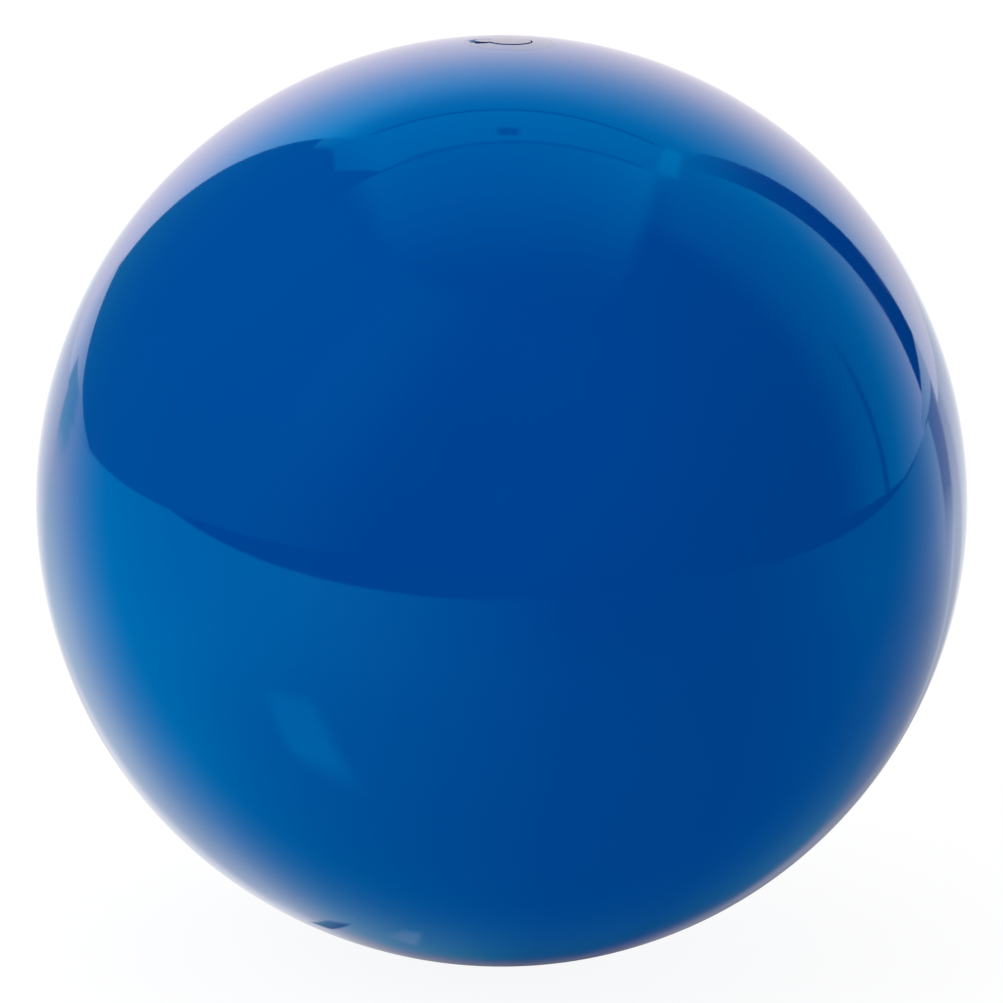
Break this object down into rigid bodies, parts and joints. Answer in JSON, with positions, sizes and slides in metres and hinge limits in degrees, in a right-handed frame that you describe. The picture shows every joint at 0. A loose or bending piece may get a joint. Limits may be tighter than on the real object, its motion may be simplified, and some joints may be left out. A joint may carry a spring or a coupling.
{
  "type": "gymnastics ball",
  "caption": "Hollow air-filled ball with a smooth glossy moulded skin, a flush valve insert at its top and a pull-out plug with a lifting tab.",
  "frame": {"origin": "centre of the ball", "axes": "+Z from the ball's centre out through the valve, -Y towards the picture's viewer, +X to the viewer's right"},
  "size_m": [0.19, 0.19, 0.1901],
  "materials": {
    "skin": "smooth glossy soft PVC, deep blue",
    "insert": "satin soft PVC, deep blue",
    "plug": "satin rubber, navy blue"
  },
  "bodies": {
    "ball": {"ball_shell": "skin", "valve_seat": "insert"},
    "plug": {"valve_plug": "plug"}
  },
  "joints": [
    {"name": "plug_pull", "type": "slide", "parent": "ball", "child": "plug", "axis": [0, 0, 1], "range_m": [0, 0.018]}
  ]
}
